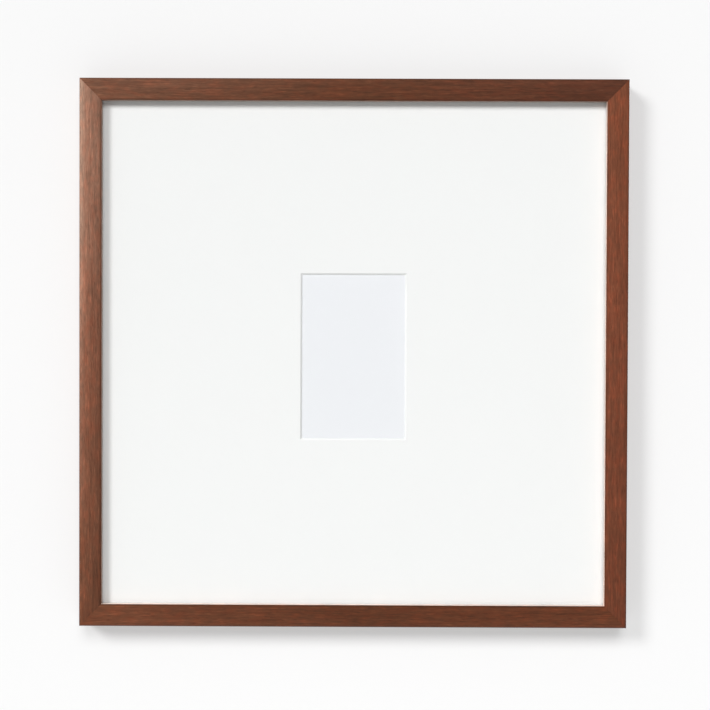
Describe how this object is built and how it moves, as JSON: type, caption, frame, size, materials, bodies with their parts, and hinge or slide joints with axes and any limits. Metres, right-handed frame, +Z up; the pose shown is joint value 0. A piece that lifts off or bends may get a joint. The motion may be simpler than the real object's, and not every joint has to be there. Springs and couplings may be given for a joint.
{
  "type": "gallery picture frame",
  "caption": "Square wall-hung gallery frame in stained wood with a wide window mat round a small print, opened from the back by turn buttons.",
  "frame": {"origin": "on the wall's face, behind the middle of the frame", "axes": "+X to the right seen from the front, +Y from the frame's front towards the wall, +Z up"},
  "size_m": [0.4572, 0.0294, 0.4572],
  "materials": {
    "stained_hardwood": "walnut-brown stain under a satin lacquer",
    "nail_steel": "bare steel",
    "clear_glazing": "clear, polished",
    "mat_board": "matt white mat board",
    "print_paper": "smooth blank paper",
    "corner_paper": "matt paper",
    "linen_tape": "gummed linen",
    "mount_card": "matt card",
    "foam_board": "paper-faced foam",
    "backing_fibreboard": "raw medium-density fibreboard",
    "zinc_plated_steel": "bright zinc plate",
    "nickel_plated_steel": "nickel plate",
    "brass_plated_screw": "brass-plated steel",
    "bumper_rubber": "matt rubber"
  },
  "bodies": {
    "frame": {"top_rail": "stained_hardwood", "bottom_rail": "stained_hardwood", "left_stile": "stained_hardwood", "right_stile": "stained_hardwood", "corner_v_nails": "nail_steel", "glazing": "clear_glazing", "window_mat": "mat_board", "print_insert": "print_paper", "photo_corner_top_left": "corner_paper", "photo_corner_top_right": "corner_paper", "photo_corner_bottom_left": "corner_paper", "photo_corner_bottom_right": "corner_paper", "mat_hinge_tape": "linen_tape", "mount_board": "mount_card", "front_filler_board": "foam_board", "rear_filler_board": "foam_board", "backing_board": "backing_fibreboard", "turn_button_screws": "brass_plated_screw", "left_hanger_strap": "nickel_plated_steel", "right_hanger_strap": "nickel_plated_steel", "hanger_screws": "brass_plated_screw", "left_bumper": "bumper_rubber", "right_bumper": "bumper_rubber"},
    "turn_button_top_left": {"turn_button_top_left": "zinc_plated_steel"},
    "turn_button_top_right": {"turn_button_top_right": "zinc_plated_steel"},
    "turn_button_right_upper": {"turn_button_right_upper": "zinc_plated_steel"},
    "turn_button_right_lower": {"turn_button_right_lower": "zinc_plated_steel"},
    "turn_button_bottom_left": {"turn_button_bottom_left": "zinc_plated_steel"},
    "turn_button_bottom_right": {"turn_button_bottom_right": "zinc_plated_steel"},
    "turn_button_left_upper": {"turn_button_left_upper": "zinc_plated_steel"},
    "turn_button_left_lower": {"turn_button_left_lower": "zinc_plated_steel"},
    "left_hanger_ring": {"left_hanger_ring": "nickel_plated_steel"},
    "right_hanger_ring": {"right_hanger_ring": "nickel_plated_steel"}
  },
  "joints": [
    {"name": "turn_button_top_left_turn", "type": "hinge", "parent": "frame", "child": "turn_button_top_left", "pos_m": [-0.14, -0.0034, 0.2223], "axis": [0, 1, 0], "range_deg": [-90, 90]},
    {"name": "turn_button_top_right_turn", "type": "hinge", "parent": "frame", "child": "turn_button_top_right", "pos_m": [0.14, -0.0034, 0.2223], "axis": [0, 1, 0], "range_deg": [-90, 90]},
    {"name": "turn_button_right_upper_turn", "type": "hinge", "parent": "frame", "child": "turn_button_right_upper", "pos_m": [0.2223, -0.0034, 0.14], "axis": [0, 1, 0], "range_deg": [-90, 90]},
    {"name": "turn_button_right_lower_turn", "type": "hinge", "parent": "frame", "child": "turn_button_right_lower", "pos_m": [0.2223, -0.0034, -0.14], "axis": [0, 1, 0], "range_deg": [-90, 90]},
    {"name": "turn_button_bottom_left_turn", "type": "hinge", "parent": "frame", "child": "turn_button_bottom_left", "pos_m": [-0.14, -0.0034, -0.2223], "axis": [0, 1, 0], "range_deg": [-90, 90]},
    {"name": "turn_button_bottom_right_turn", "type": "hinge", "parent": "frame", "child": "turn_button_bottom_right", "pos_m": [0.14, -0.0034, -0.2223], "axis": [0, 1, 0], "range_deg": [-90, 90]},
    {"name": "turn_button_left_upper_turn", "type": "hinge", "parent": "frame", "child": "turn_button_left_upper", "pos_m": [-0.2223, -0.0034, 0.14], "axis": [0, 1, 0], "range_deg": [-90, 90]},
    {"name": "turn_button_left_lower_turn", "type": "hinge", "parent": "frame", "child": "turn_button_left_lower", "pos_m": [-0.2223, -0.0034, -0.14], "axis": [0, 1, 0], "range_deg": [-90, 90]},
    {"name": "left_hanger_ring_swing", "type": "hinge", "parent": "frame", "child": "left_hanger_ring", "pos_m": [-0.222, -0.00225, 0.095], "axis": [1, 0, 0], "range_deg": [0, 176]},
    {"name": "right_hanger_ring_swing", "type": "hinge", "parent": "frame", "child": "right_hanger_ring", "pos_m": [0.222, -0.00225, 0.095], "axis": [1, 0, 0], "range_deg": [0, 176]}
  ]
}
